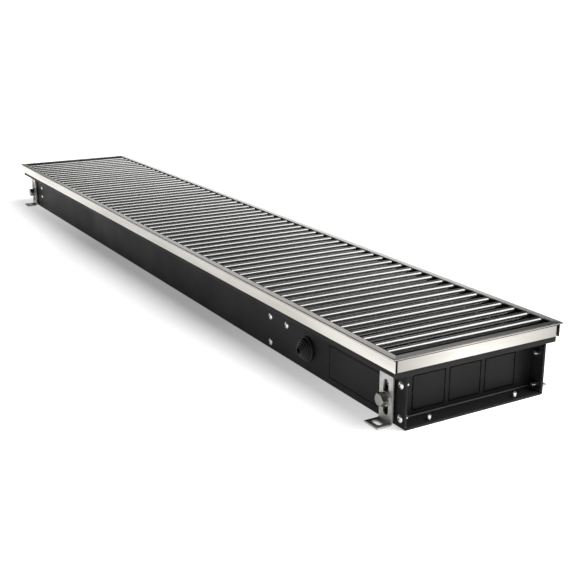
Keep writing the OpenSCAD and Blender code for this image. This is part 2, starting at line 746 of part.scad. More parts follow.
module coil_tubes() color(copper) for (y = tube_ys) {
    pipe_x(tube_far_x, tube_near_x, y, tube_z);
    pipe_x(tube_far_x, union_tube_x, y, tube_top_z);
}

// A half turn of tube in the X and Y plane with a socket over each tube end; the tubes come from -X
module return_bend(pitch) {
    socket_r = tube_r + tube_fit + tube_wall;
    difference() {
        union() {
            rotate([0, 0, -90]) rotate_extrude(angle = 180, $fn = round_fn)
                translate([pitch / 2, 0]) circle(tube_r, $fn = round_fn);
            for (side = [-1, 1])
                rod_along_x([-bend_socket_l, side * pitch / 2, 0], socket_r, bend_socket_l + tube_wall);
        }
        rotate([0, 0, -90]) rotate_extrude(angle = 180, $fn = round_fn)
            translate([pitch / 2, 0]) circle(tube_r - tube_wall, $fn = round_fn);
        for (side = [-1, 1])
            rod_along_x([-bend_socket_l - overrun, side * pitch / 2, 0], tube_r + tube_fit, bend_socket_l + overrun);
    }
}

module return_bend_near() color(copper) translate([tube_near_x, exchanger_y, tube_z]) return_bend(tube_pitch_y);
module return_bends_far() color(copper) for (y = tube_ys)
    translate([tube_far_x, y, fin_mid_z]) rotate([0, 0, 180]) rotate([90, 0, 0]) return_bend(tube_pitch_z);

// Flanged bushes that hold the tubes in both partitions
module tube_bushes() color(plastic) for (y = tube_ys, z = [tube_z, tube_top_z], end = [-1, 1]) {
    face_x = end > 0 ? bulkhead_x : support_x;
    difference() {
        union() {
            rod_along_x([end > 0 ? face_x - sheet_t : face_x, y, z], bush_r, sheet_t);
            rod_along_x([end > 0 ? face_x : face_x - bush_rim_t, y, z], bush_r + bush_rim, bush_rim_t);
        }
        rod_along_x([face_x - flange_w, y, z], tube_r + tube_fit, 2 * flange_w);
    }
}

// A hexagonal union: socket for the tube, shoulder and inner thread towards the connection end
module water_union(y) {
    difference() {
        translate([union_x, y, tube_top_z]) rotate([0, 90, 0]) rotate([0, 0, 30])
            cylinder(d = union_af / cos(30), h = union_l, $fn = 6);
        rod_along_x([union_x - overrun, y, tube_top_z], tube_r + tube_fit, union_socket_l + overrun);
        rod_along_x([union_x, y, tube_top_z], tube_r - tube_wall, union_l);
        rod_along_x([union_x + union_socket_l + union_shoulder_l, y, tube_top_z],
            union_thread_d / 2, union_thread_l + overrun);
    }
}

module flow_union() color(brass) water_union(tube_ys[0]);
module return_union() color(brass) difference() {
    water_union(tube_ys[1]);
    translate([vent_x, tube_ys[1], tube_top_z])
        cylinder(d = vent_stem_d + 2 * vent_fit, h = union_af, $fn = round_fn);
}

module vent_plug() color(brass) translate([vent_x, tube_ys[1], 0]) difference() {
    stem_z = tube_top_z + tube_r;
    union() {
        translate([0, 0, vent_base_z]) cylinder(d = vent_af / cos(30), h = vent_h, $fn = 6);
        translate([0, 0, stem_z]) cylinder(d = vent_stem_d, h = vent_base_z - stem_z + overrun, $fn = round_fn);
    }
    translate([0, 0, tube_top_z]) cylinder(d = vent_screw_d + 2 * vent_fit, h = union_af, $fn = round_fn);
}

module vent_screw() color(steel) translate([vent_x, tube_ys[1], vent_base_z + vent_h]) difference() {
    union() {
        translate([0, 0, -vent_h]) cylinder(d = vent_screw_d, h = vent_h + overrun, $fn = round_fn);
        cylinder(d = vent_head_d, h = vent_head_h, $fn = round_fn);
    }
    translate([-vent_head_d, -vent_slot / 2, vent_head_h - vent_slot])
        cube([2 * vent_head_d, vent_slot, vent_slot + overrun]);
}

// The rubber cable entry in the front wall: two flanges, a groove for the sheet and a stepped cone
module cable_grommet() color(rubber) {
    outer_r = grommet_d / 2;
    groove_r = outer_r - grommet_groove;
    cone_r = outer_r - grommet_groove / 2;
    tip_r = grommet_tip_d / 2;
    step_drop = (cone_r - tip_r) / grommet_steps;
    cone_h = grommet_steps * grommet_step_h;
    steps = [for (i = [0:grommet_steps - 1], top = [0, 1])
        [cone_r - (i + 1) * step_drop, grommet_flange_t + (i + top) * grommet_step_h]];
    translate([half_l - grommet_x, -wall_y, grommet_z]) rotate([90, 0, 0])
        rotate_extrude($fn = round_fn) polygon(concat(
            [[groove_r - grommet_wall, -sheet_t - grommet_flange_t], [outer_r, -sheet_t - grommet_flange_t],
             [outer_r, -sheet_t], [groove_r, -sheet_t], [groove_r, 0], [outer_r, 0], [outer_r, grommet_flange_t]],
            steps,
            [[tip_r - grommet_wall, grommet_flange_t + cone_h],
             [tip_r - grommet_wall, grommet_flange_t + cone_h - grommet_step_h]]
        ));
}

// A strip riveted inside the front wall with a loop that holds the cable's end
module cable_clip() color(steel) {
    loop_r = clip_loop_d / 2 + clip_t;
    inside_y = -wall_y + sheet_t;
    loop_z = wall_rivet_z - clip_drop - loop_r;
    translate([half_l - clip_rivet_x, inside_y, 0]) difference() {
        union() {
            box([-clip_w / 2, 0, loop_z], [clip_w / 2, clip_t, wall_rivet_z + clip_w / 2]);
            rod_along_x([-clip_w / 2, loop_r, loop_z], loop_r, clip_w);
        }
        rod_along_x([-clip_w, loop_r, loop_z], clip_loop_d / 2, 2 * clip_w);
        rod_along_y([0, -clip_t, wall_rivet_z], rivet_d / 2 + rivet_fit, 3 * clip_t);
    }
}

module panel_rivets() color(steel)
    for (end = [-1, 1], side = [-1, 1], z = [panel_rivet_top_z, panel_rivet_low_z])
        wall_rivet(end * (half_l - panel_rivet_x), side, z, 2 * sheet_t + sheet_fit);

// Flush rivets through the floor into the end panels' lower flanges
module floor_rivets() color(steel) for (end = [-1, 1], side = [-1, 1])
    translate([end * (half_l - floor_rivet_x), side * floor_rivet_y, 0]) {
        cylinder(d = rivet_d, h = 2 * sheet_t, $fn = round_fn);
        translate([0, 0, 2 * sheet_t]) cylinder(d = rivet_blind_d, h = rivet_blind_l, $fn = round_fn);
        translate([0, 0, 2 * sheet_t + rivet_blind_l]) cylinder(d = rivet_pin_d, h = rivet_pin_step, $fn = round_fn);
    }

module partition_rivets() color(steel) for (side = [-1, 1]) {
    for (z = [wall_rivet_z, bulkhead_rivet_low_z])
        wall_rivet(half_l - bulkhead_rivet_x, side, z, 2 * sheet_t + sheet_fit);
    for (z = [wall_rivet_z, support_rivet_low_z])
        wall_rivet(-half_l + support_rivet_x, side, z, 2 * sheet_t + sheet_fit);
}

module guide_rivets() color(steel) for (place = bracket_places)
    wall_rivet(place[0] * bracket_mid_x, place[1], wall_rivet_z, sheet_t);

module clip_rivet() color(steel) wall_rivet(half_l - clip_rivet_x, -1, wall_rivet_z, sheet_t + clip_t);

trough_body();
end_panel_connection();
end_panel_far();
bulkhead();
coil_support();
air_baffle();
frame_side_front();
frame_side_back();
frame_end_connection();
frame_end_far();
support_strip_front();
support_strip_back();
grille_rods();
grille_spacers();
grille_wires();
link_rod(1);  // link_rod_1
link_rod(2);  // link_rod_2
link_rod(3);  // link_rod_3
link_rod(4);  // link_rod_4
link_rod(5);  // link_rod_5
link_rod(6);  // link_rod_6
link_rod(7);  // link_rod_7
link_rod(8);  // link_rod_8
link_spacers(1);  // link_spacers_1
link_spacers(2);  // link_spacers_2
link_spacers(3);  // link_spacers_3
link_spacers(4);  // link_spacers_4
link_spacers(5);  // link_spacers_5
link_spacers(6);  // link_spacers_6
link_spacers(7);  // link_spacers_7
link_spacers(8);  // link_spacers_8
placed_bracket(bracket_places[0]);  // foot_bracket_front_near
placed_bracket(bracket_places[1]);  // foot_bracket_back_near
placed_bracket(bracket_places[2]);  // foot_bracket_front_far
placed_bracket(bracket_places[3]);  // foot_bracket_back_far
foot_bolts();
spring_washers();
flat_washers();
rivet_nuts();
fin_pack();
coil_tubes();
return_bend_near();
return_bends_far();
tube_bushes();
flow_union();
return_union();
vent_plug();
vent_screw();
cable_grommet();
cable_clip();
panel_rivets();
floor_rivets();
partition_rivets();
guide_rivets();
clip_rivet();
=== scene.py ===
# %% [markdown]
# A trench convector heater lies in a slot in the floor, so that only its grille and its frame show.

import math

import bmesh
import bpy
from mathutils import Matrix, Vector


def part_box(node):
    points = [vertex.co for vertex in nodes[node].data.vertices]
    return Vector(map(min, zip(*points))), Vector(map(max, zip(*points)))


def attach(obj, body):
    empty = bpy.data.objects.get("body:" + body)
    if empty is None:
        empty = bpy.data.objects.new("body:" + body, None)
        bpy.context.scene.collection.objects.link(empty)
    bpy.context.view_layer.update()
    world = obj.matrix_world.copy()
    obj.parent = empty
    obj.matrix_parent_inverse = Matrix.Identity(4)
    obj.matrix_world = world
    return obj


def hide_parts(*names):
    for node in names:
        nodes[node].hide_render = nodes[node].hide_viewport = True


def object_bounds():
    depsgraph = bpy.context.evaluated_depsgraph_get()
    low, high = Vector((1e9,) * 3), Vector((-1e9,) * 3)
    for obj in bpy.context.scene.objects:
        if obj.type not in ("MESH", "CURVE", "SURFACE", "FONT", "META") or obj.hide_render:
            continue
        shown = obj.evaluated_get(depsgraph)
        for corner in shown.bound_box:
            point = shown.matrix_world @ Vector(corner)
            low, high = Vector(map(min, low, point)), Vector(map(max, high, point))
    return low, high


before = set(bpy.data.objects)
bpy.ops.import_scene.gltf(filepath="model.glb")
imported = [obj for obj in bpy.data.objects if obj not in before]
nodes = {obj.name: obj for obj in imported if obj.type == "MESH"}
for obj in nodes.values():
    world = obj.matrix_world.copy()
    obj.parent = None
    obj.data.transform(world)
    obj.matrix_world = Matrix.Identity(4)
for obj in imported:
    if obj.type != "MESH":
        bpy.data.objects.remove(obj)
cad_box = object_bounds()

# %% [markdown]
# The photograph looks along the heater from its connection end, a little from above. The place, the turn
# and the lens were worked out from the heater's own edges in the picture: its long sides run to one
# vanishing point and its short sides to another, and the two fix the view. A lens of 60 mm gives the
# same taper.

# %% Camera at the photograph's viewing angle
camera_place = Vector((1.3345, -0.6301, 0.4120))
camera_tilt = math.radians(73.043)
camera_turn = math.radians(59.701)
camera_lens_mm = 60.39

camera_data = bpy.data.cameras.new("view_from_the_connection_end")
camera_data.lens = camera_lens_mm
camera_data.sensor_width = 36
camera = bpy.data.objects.new("view_from_the_connection_end", camera_data)
camera.location = camera_place
camera.rotation_euler = (camera_tilt, 0, camera_turn)
bpy.context.collection.objects.link(camera)
bpy.context.scene.camera = camera
print("camera at", tuple(camera_place), "with a lens of", camera_lens_mm, "mm")

# %% [markdown]
# Metal shows what is around it, so the room matters as much as the finish. The rods are cylinders that
# lie across the heater: a mirror like that gathers a band of the room into one bright line along each
# rod. A lamp high up behind the heater gives that line, a dim one beside it gives the grey shoulder, and
# a dark room gives the rest. A low lamp far behind lights the tops of the frame. One more draws the
# shadow and stays out of the mirror images, so it leaves no second line.

# %% World and lamps
def add_lamp(name, place, target, width, depth, watts, along=(1, 0, 0)):
    """A flat lamp that faces a target, with its width laid along a direction."""
    data = bpy.data.lights.new(name, "AREA")
    data.shape = "RECTANGLE"
    data.size = width
    data.size_y = depth
    data.energy = watts
    lamp = bpy.data.objects.new(name, data)
    lamp.location = place
    back = (Vector(place) - Vector(target)).normalized()
    side = back.cross(Vector(along)).normalized()
    lamp.rotation_euler = Matrix((side.cross(back), side, back)).transposed().to_euler()
    bpy.context.collection.objects.link(lamp)
    return lamp


room_grey = 0.06
world = bpy.data.worlds.new("calm_grey_room")
world.use_nodes = True
room = world.node_tree.nodes["Background"]
room.inputs["Color"].default_value = (room_grey, room_grey, room_grey, 1)
room.inputs["Strength"].default_value = 1
bpy.context.scene.world = world

middle = (0, 0, 0.04)
lamps = [
    add_lamp("shadow_lamp", (1.6, 1.15, 3.6), middle, 2.2, 2.6, 150),
    add_lamp("rod_line_lamp", (0.15, 1.5, 2.65), middle, 3.6, 0.70, 16.5, along=(-1.85, -1.07, 0.58)),
    add_lamp("wide_dim_lamp", (-0.9, 1.8, 3.6), middle, 2.4, 2.6, 3),
    add_lamp("rim_lamp", (-6.0, 3.4, 2.3), middle, 4.5, 2.0, 30),
]
lamps[0].visible_glossy = False
print(len(lamps), "lamps,", sum(lamp.data.energy for lamp in lamps), "W in all")

# %% [markdown]
# A material is a small net of nodes. Four helpers start a material, add a node with its settings, join two
# nodes and do a sum, so that each finish below reads like a recipe.

# %% Helpers for materials
def new_material(name):
    material = bpy.data.materials.new(name)
    material.use_nodes = True
    tree = material.node_tree
    return material, tree, tree.nodes["Principled BSDF"]


def add_node(tree, kind, **inputs):
    node = tree.nodes.new(kind)
    for name, value in inputs.items():
        node.inputs[name].default_value = value
    return node


def link(tree, source, target):
    tree.links.new(source, target)


def calculated(tree, operation, *sources):
    """The result of a math node on one or two values."""
    node = add_node(tree, "ShaderNodeMath")
    node.operation = operation
    for place, source in enumerate(sources):
        link(tree, source, node.inputs[place])
    return node.outputs[0]


print("material helpers ready")

# %% [markdown]
# The heater stands on a plain white floor. A floor that is only lit would be grey in a dark room, so the
# camera and the mirrors see it with some light of its own. There is little of it near the heater, where
# the lamps light the floor and the shadow has to show, and more of it far away, where no lamp reaches.

# %% Floor
floor_half = 150
near_glow = 0.30
far_glow = 1.1
near_reach = 0.25
far_reach = 1.3
floor_mesh = bpy.data.meshes.new("white_floor")
shape = bmesh.new()
bmesh.ops.create_grid(shape, x_segments=1, y_segments=1, size=floor_half)
shape.to_mesh(floor_mesh)
shape.free()
floor = bpy.data.objects.new("white_floor", floor_mesh)
bpy.context.collection.objects.link(floor)

paper, tree, shader = new_material("white_paper")
shader.inputs["Base Color"].default_value = (0.86, 0.86, 0.86, 1)
shader.inputs["Roughness"].default_value = 0.9
shader.inputs["Specular IOR Level"].default_value = 0.1
shader.inputs["Emission Color"].default_value = (1, 1, 1, 1)
ray = add_node(tree, "ShaderNodeLightPath")
seen = calculated(tree, "MAXIMUM", ray.outputs["Is Camera Ray"], ray.outputs["Is Glossy Ray"])
seen = calculated(tree, "MAXIMUM", seen, ray.outputs["Is Transmission Ray"])
from_heater = add_node(tree, "ShaderNodeVectorMath")
from_heater.operation = "LENGTH"
link(tree, add_node(tree, "ShaderNodeTexCoord").outputs["Object"], from_heater.inputs[0])
glow_here = add_node(tree, "ShaderNodeMapRange", **{
    "From Min": near_reach, "From Max": far_reach, "To Min": near_glow, "To Max": far_glow})
link(tree, from_heater.outputs["Value"], glow_here.inputs["Value"])
glow = calculated(tree, "MULTIPLY", seen, glow_here.outputs["Result"])
link(tree, glow, shader.inputs["Emission Strength"])
floor_mesh.materials.append(paper)
print("floor of", 2 * floor_half, "m, glow from", near_glow, "to", far_glow)

# %% [markdown]
# Every finish below is worked out from the place of a point on the heater, in metres, so it needs no
# picture and no unwrapping. Noise is the raw material. Stretched far along one axis it becomes the grain
# that a brush or a drawing die leaves, and fine even noise becomes the skin of a powder coat.

# %% Helpers for the finishes
def stretched_noise(tree, scale, detail=3):
    """Noise whose features are one metre divided by scale along each axis."""
    places = add_node(tree, "ShaderNodeTexCoord")
    mapping = add_node(tree, "ShaderNodeMapping", Scale=scale)
    noise = add_node(tree, "ShaderNodeTexNoise", Scale=1, Detail=detail)
    link(tree, places.outputs["Object"], mapping.inputs["Vector"])
    link(tree, mapping.outputs["Vector"], noise.inputs["Vector"])
    return noise.outputs["Fac"]


def between(tree, source, low, high, from_low=0.3, from_high=0.7):
    """A value mapped from the noise's usual spread to a wanted one."""
    node = add_node(tree, "ShaderNodeMapRange", **{
        "From Min": from_low, "From Max": from_high, "To Min": low, "To Max": high})
    link(tree, source, node.inputs["Value"])
    return node.outputs["Result"]


def mixed_colour(tree, factor, low, high):
    node = add_node(tree, "ShaderNodeMix")
    node.data_type = "RGBA"
    node.inputs["A"].default_value = (*low, 1)
    node.inputs["B"].default_value = (*high, 1)
    link(tree, factor, node.inputs["Factor"])
    return node.outputs["Result"]


def bumped(tree, height, distance, strength, under=None):
    node = add_node(tree, "ShaderNodeBump", Distance=distance, Strength=strength)
    link(tree, height, node.inputs["Height"])
    if under is not None:
        link(tree, under, node.inputs["Normal"])
    return node.outputs["Normal"]


def softened_edge(tree, radius):
    """The surface's direction, turned gently round every sharp edge."""
    return add_node(tree, "ShaderNodeBevel", Radius=radius).outputs["Normal"]


def edge_share(tree, radius, low, high):
    """Zero on a flat and one on an edge: how far the softened direction leans from the true one."""
    soft = softened_edge(tree, radius)
    true = add_node(tree, "ShaderNodeNewGeometry").outputs["True Normal"]
    lean = add_node(tree, "ShaderNodeVectorMath")
    lean.operation = "DOT_PRODUCT"
    link(tree, soft, lean.inputs[0])
    link(tree, true, lean.inputs[1])
    return between(tree, lean.outputs["Value"], 0, 1, high, low)


def dress(material, *names):
    for name in names:
        mesh = nodes[name].data
        mesh.materials.clear()
        mesh.materials.append(material)


print("helpers ready")

# %% [markdown]
# The trough is thin steel sheet under a black powder coat. Powder melts into a skin with a faint
# orange-peel texture, so the coat is never quite smooth: small bumps break up its shine, and the shine
# itself varies a little. The edges are a little lighter, partly wear from handling and partly a painted
# highlight.

# %% Black powder coat
coat_black = (0.010, 0.010, 0.010)
# Edge colour: partly wear from handling, partly a painted highlight.
coat_worn_highlight = (0.10, 0.098, 0.094)
sheet_edge = 0.0005
edge_low, edge_high = 0.86, 0.995


def coordinate(tree, axis):
    """One coordinate of the point that is being shaded, in metres."""
    places = add_node(tree, "ShaderNodeTexCoord")
    apart = add_node(tree, "ShaderNodeSeparateXYZ")
    link(tree, places.outputs["Object"], apart.inputs[0])
    return apart.outputs[axis]


def product(tree, one, other):
    return calculated(tree, "MULTIPLY", one, other)


def toned(tree, colour, share, tone):
    """A colour turned towards a tone where share is one."""
    node = add_node(tree, "ShaderNodeMix")
    node.data_type = "RGBA"
    node.inputs["B"].default_value = (*tone, 1)
    link(tree, colour, node.inputs["A"])
    link(tree, share, node.inputs["Factor"])
    return node.outputs["Result"]


def black_coat(name, black, shine):
    """The coat's material, and the colour that later marks are laid on."""
    material, tree, shader = new_material(name)
    cloud = stretched_noise(tree, (14, 14, 14), detail=4)
    peel = stretched_noise(tree, (900, 900, 900), detail=2)
    handled = between(tree, stretched_noise(tree, (60, 60, 60)), 0.1, 1)
    # Edges turned lighter: partly wear, partly a painted highlight.
    worn_and_highlit_edge = product(tree, edge_share(tree, sheet_edge, edge_low, edge_high), handled)
    colour = mixed_colour(tree, worn_and_highlit_edge, black, coat_worn_highlight)
    link(tree, colour, shader.inputs["Base Color"])
    link(tree, between(tree, cloud, 0.46, 0.58), shader.inputs["Roughness"])
    link(tree, bumped(tree, peel, 0.00012, 0.25, softened_edge(tree, sheet_edge)), shader.inputs["Normal"])
    shader.inputs["Specular IOR Level"].default_value = shine
    return material, tree, shader, colour


powder_coat, tree, shader, colour = black_coat("black_powder_coat", coat_black, 0.17)
dress(powder_coat, "trough_body", "bulkhead", "coil_support", "air_baffle")
print("powder coat on the sheet")

# %% [markdown]
# The end panels stand back under the frame, where little light falls, so their coat is painted a shade
# greyer to lift that shade.
# A painted highlight runs along the fold above the floor flange, and a painted shade lies as a dark line
# beside each cut of the knock-outs, so every cut is drawn a little wider than it is.

# %% End panels
# The panels' base is painted a shade greyer to lift the shade under the frame.
panel_lifted_grey = (0.022, 0.022, 0.022)
# A painted highlight along the fold above the floor flange.
fold_highlight_grey = (0.30, 0.295, 0.285)
# A painted shade beside each cut of the knock-outs.
cut_shade_black = (0.001, 0.001, 0.001)
fold_low, fold_high = 0.0028, 0.0044
cut_low, cut_high = 0.009, 0.047
cut_half = 0.0005
cut_spread = 0.0006
cut_lines = [0.0205, 0.0268, 0.0678]


def from_middle(tree, axis):
    """How far a point lies from the heater's middle, along one axis."""
    return calculated(tree, "ABSOLUTE", coordinate(tree, axis))


def band(tree, value, low, high, blur=0.0003):
    """One between two limits and zero outside, with soft ends."""
    over_low = between(tree, value, 0, 1, low, low + blur)
    under_high = between(tree, value, 1, 0, high - blur, high)
    return product(tree, over_low, under_high)


panel_coat, tree, shader, colour = black_coat("end_panel_coat", panel_lifted_grey, 0.25)
height = coordinate(tree, "Z")
width = from_middle(tree, "Y")
# Painted highlight along the fold.
colour = toned(tree, colour, band(tree, height, fold_low, fold_high), fold_highlight_grey)
# Painted shade beside the cuts, which draws each cut wider.
beside_cuts = band(tree, height, cut_low, cut_high)
for place in cut_lines:
    upright = band(tree, width, place - cut_half - cut_spread, place + cut_half + cut_spread)
    colour = toned(tree, colour, product(tree, upright, beside_cuts), cut_shade_black)
foot_line = band(tree, height, cut_low - cut_spread, cut_low + 2 * cut_half + cut_spread)
for start, end in ((0, cut_lines[0]), (cut_lines[1], cut_lines[2])):
    across = band(tree, width, start - cut_half, end)
    colour = toned(tree, colour, product(tree, foot_line, across), cut_shade_black)
link(tree, colour, shader.inputs["Base Color"])
dress(panel_coat, "end_panel_connection", "end_panel_far")
print("panel coat with", len(cut_lines), "kinds of cut on each side")

# %% [markdown]
# The frame is a metal extrusion that was brushed along its length. Fine scratches all run one way, so a
# reflection smears across them and stays sharp along them. A noise stretched far longer than it is wide
# does the same, and each bar gets its own direction. The flat tops carry painted light and shade: the back
# bar's top is painted near white, a painted reflection, and the tops of the front and short bars are
# painted darker. The short bars get a painted shade towards their ends, and a painted shadow lies under
# the rim and in the open slits at the corners.

# %% Brushed frame
frame_pale = (0.80, 0.775, 0.73)
frame_shade = (0.60, 0.58, 0.535)
# Painted shade towards the ends of the short bars.
end_shade_tone = (0.28, 0.27, 0.25)
# Painted shadow under the rim and in the open corner slits.
painted_shade_grey = (0.02, 0.0195, 0.019)
frame_top = cad_box[1][2]
shade_line_low = frame_top - 0.0039
shade_line_high = frame_top - 0.0015
slit_from_end = 0.0017
slit_from_side = 0.0065
tone_start = 0.2
up_low, up_high = 0.75, 0.97


def grain(along, across, lengthways):
    """Noise scales for a grain that runs along one axis."""
    return [lengthways if axis == along else across for axis in range(3)]


def facing(tree, axis):
    """How far the surface faces along an axis, from minus one to one."""
    apart = add_node(tree, "ShaderNodeSeparateXYZ")
    link(tree, add_node(tree, "ShaderNodeNewGeometry").outputs["True Normal"], apart.inputs[0])
    return apart.outputs[axis]


def frame_bar(name, along, slit, painted_top_tone, painted_top_share, end_share=0):
    """A brushed bar, with a painted shadow under its rim and in its corners, painted light and shade on
    its top and a painted shade at its ends.
    """
    material, tree, shader = new_material(name)
    scratches = stretched_noise(tree, grain(along, 1900, 9), detail=4)
    bands = stretched_noise(tree, grain(along, 40, 4.5), detail=2)
    distance = from_middle(tree, "XYZ"[along])
    height = coordinate(tree, "Z")
    # Painted shade that grows towards the bar's ends.
    painted_end_shade = between(tree, distance, 0, end_share, slit * tone_start, slit)
    # Painted light and shade on the flat top, by how it faces up.
    top = between(tree, facing(tree, "Z"), 0, painted_top_share, up_low, up_high)
    # Painted shadow line under the rim, and painted shade in the corner slits.
    line = band(tree, height, shade_line_low, shade_line_high)
    corner = product(tree, band(tree, distance, slit, cad_box[1][0]), band(tree, height, 0, shade_line_high))
    colour = mixed_colour(tree, between(tree, bands, 0, 1), frame_shade, frame_pale)
    colour = toned(tree, colour, painted_end_shade, end_shade_tone)
    colour = toned(tree, colour, top, painted_top_tone)
    colour = toned(tree, colour, line, painted_shade_grey)
    colour = toned(tree, colour, corner, painted_shade_grey)
    link(tree, colour, shader.inputs["Base Color"])
    link(tree, between(tree, scratches, 0.26, 0.42), shader.inputs["Roughness"])
    brushed = bumped(tree, scratches, 0.00005, 0.35, softened_edge(tree, 0.0003))
    link(tree, brushed, shader.inputs["Normal"])
    shader.inputs["Metallic"].default_value = 1
    return material


end_slit = cad_box[1][0] - slit_from_end
side_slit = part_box("frame_side_back")[1][1] - slit_from_side
# Top tones: a painted reflection near white on the back bar, painted shade on the front and short bars.
front_bar = frame_bar("frame_front_bar", 0, end_slit, (0.40, 0.39, 0.36), 0.45)
back_bar = frame_bar("frame_back_bar", 0, end_slit, (0.98, 0.97, 0.95), 1)
short_bar = frame_bar("frame_short_bars", 1, side_slit, (0.22, 0.215, 0.20), 0.85, end_share=0.75)
dress(front_bar, "frame_side_front")
dress(back_bar, "frame_side_back")
dress(short_bar, "frame_end_connection", "frame_end_far")
print("frame brushed, shadow line", round(1000 * (shade_line_high - shade_line_low), 1), "mm high")

# %% [markdown]
# The rods are drawn through a die and anodised. They are smoother than the frame, with fine lines along
# the rod, and no two rods of a batch are quite alike. A number drawn from each rod's place in the row
# changes its shine and its tone a little, so the grille doesn't look like one copied rod. The crown of a
# rod is painted darker than its sides, a painted shade that keeps the bright line narrow.

# %% Drawn rods
rod_names = ["grille_rods"] + sorted(name for name in nodes if name.startswith("link_rod_"))
first_low, first_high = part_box("grille_rods")
last_low, last_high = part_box(rod_names[-1])
rod_d = last_high[0] - last_low[0]
first_axis = first_low[0] + rod_d / 2
last_axis = last_high[0] - rod_d / 2
main_last_axis = first_high[0] - rod_d / 2
link_rods = len(rod_names) - 1
rod_pitch = (last_axis - main_last_axis) / link_rods

# Painted shade on the crown of each rod.
crown_shade_grey = (0.06, 0.06, 0.058)
crown_share = 0.85
crown_low, crown_high = 0.95, 0.99

drawn_rod, tree, shader = new_material("drawn_rod")
row_place = add_node(tree, "ShaderNodeMapRange", **{
    "From Min": first_axis - rod_pitch / 2, "From Max": first_axis + rod_pitch / 2,
    "To Min": 0, "To Max": 1})
row_place.clamp = False
link(tree, coordinate(tree, "X"), row_place.inputs["Value"])
rod_number = calculated(tree, "FLOOR", row_place.outputs["Result"])
draw = add_node(tree, "ShaderNodeTexWhiteNoise")
draw.noise_dimensions = "1D"
link(tree, rod_number, draw.inputs["W"])
lines = stretched_noise(tree, (280, 2, 280), detail=2)
rod_share = between(tree, draw.outputs["Value"], 0, 0.04, 0, 1)
roughness = calculated(tree, "ADD", between(tree, lines, 0.10, 0.12), rod_share)
rod_colour = mixed_colour(tree, draw.outputs["Value"], (0.50, 0.50, 0.49), (0.58, 0.58, 0.565))
# Painted shade where the rod faces up.
painted_crown = between(tree, facing(tree, "Z"), 0, crown_share, crown_low, crown_high)
link(tree, toned(tree, rod_colour, painted_crown, crown_shade_grey), shader.inputs["Base Color"])
link(tree, roughness, shader.inputs["Roughness"])
link(tree, bumped(tree, lines, 0.00001, 0.03), shader.inputs["Normal"])
shader.inputs["Metallic"].default_value = 1
dress(drawn_rod, *rod_names)
print(link_rods, "hinged rods, pitch", round(rod_pitch * 1000, 2), "mm, rod", round(rod_d * 1000, 1), "mm")

# %% [markdown]
# The feet, their flat washers and rivet nuts are zinc plated. Zinc grows in small crystals and is then
# passivated, so it looks bright but cloudy, with slightly paler and darker places. Flat tops that face up
# get a painted shade that makes them a little darker.

# %% Zinc plate
# Painted shade on flat tops that face up.
flat_top_shade_grey = (0.13, 0.128, 0.12)
flat_top_shade_share = 0.45

zinc_plate, tree, shader = new_material("zinc_plate")
crystals = add_node(tree, "ShaderNodeTexVoronoi", Scale=700)
link(tree, add_node(tree, "ShaderNodeTexCoord").outputs["Object"], crystals.inputs["Vector"])
cloudy = stretched_noise(tree, (120, 120, 120), detail=4)
zinc_colour = mixed_colour(tree, between(tree, cloudy, 0, 1), (0.62, 0.61, 0.585), (0.78, 0.765, 0.73))
# Painted shade where the surface faces up.
painted_flat_top_shade = between(tree, facing(tree, "Z"), 0, flat_top_shade_share, up_low, up_high)
link(tree, toned(tree, zinc_colour, painted_flat_top_shade, flat_top_shade_grey), shader.inputs["Base Color"])
link(tree, between(tree, crystals.outputs["Distance"], 0.34, 0.5, 0, 0.7), shader.inputs["Roughness"])
fine = stretched_noise(tree, (1500, 1500, 1500))
link(tree, bumped(tree, fine, 0.00005, 0.25, softened_edge(tree, 0.0004)), shader.inputs["Normal"])
shader.inputs["Metallic"].default_value = 0.6
brackets = sorted(name for name in nodes if name.startswith("foot_bracket_"))
dress(zinc_plate, *brackets, "flat_washers", "rivet_nuts", "cable_clip", "grille_wires", "vent_screw")
print("zinc on", len(brackets), "brackets and their fasteners")

# %% [markdown]
# Rivets, fins, tubes, fittings and bolts each get the metal that the trade uses: bright aluminium for
# blind rivets, thin mill-finish aluminium for fins, drawn copper that has darkened a little with handling,
# turned brass, and dull steel for bolts and spring washers. One function makes them all, because they
# differ only in colour, grain and tarnish.

# %% Small metals
def handled_metal(name, pale, dark, low_rough, high_rough, marks_scale, patch=40):
    """A plain metal with cloudy tarnish and fine marks."""
    material, tree, shader = new_material(name)
    tarnish = stretched_noise(tree, (patch, patch, patch), detail=5)
    marks = stretched_noise(tree, marks_scale, detail=3)
    link(tree, mixed_colour(tree, between(tree, tarnish, 0, 1), dark, pale), shader.inputs["Base Color"])
    link(tree, between(tree, marks, low_rough, high_rough), shader.inputs["Roughness"])
    link(tree, bumped(tree, marks, 0.00003, 0.2, softened_edge(tree, 0.0002)), shader.inputs["Normal"])
    shader.inputs["Metallic"].default_value = 1
    return material


even_marks = (900, 900, 900)
fin_marks = (600, 600, 12)
drawn_marks = (8, 900, 900)
turned_marks = (900, 60, 60)
worn_marks = (500, 500, 500)
rivet_metal = handled_metal("bright_rivet", (0.86, 0.86, 0.85), (0.74, 0.74, 0.73), 0.2, 0.32, even_marks)
fin_metal = handled_metal("mill_finish_fin", (0.84, 0.85, 0.86), (0.70, 0.71, 0.72), 0.25, 0.4, fin_marks)
copper = handled_metal("drawn_copper", (0.80, 0.44, 0.29), (0.52, 0.25, 0.16), 0.2, 0.38, drawn_marks, 25)
brass = handled_metal("turned_brass", (0.80, 0.64, 0.34), (0.62, 0.47, 0.22), 0.2, 0.34, turned_marks, 60)
bolt_steel = handled_metal("dull_bolt_steel", (0.40, 0.39, 0.37), (0.20, 0.195, 0.185), 0.28, 0.42,
                           worn_marks)
dress(bolt_steel, "foot_bolts", "spring_washers")
dress(rivet_metal, "panel_rivets", "floor_rivets", "partition_rivets", "guide_rivets", "clip_rivet")
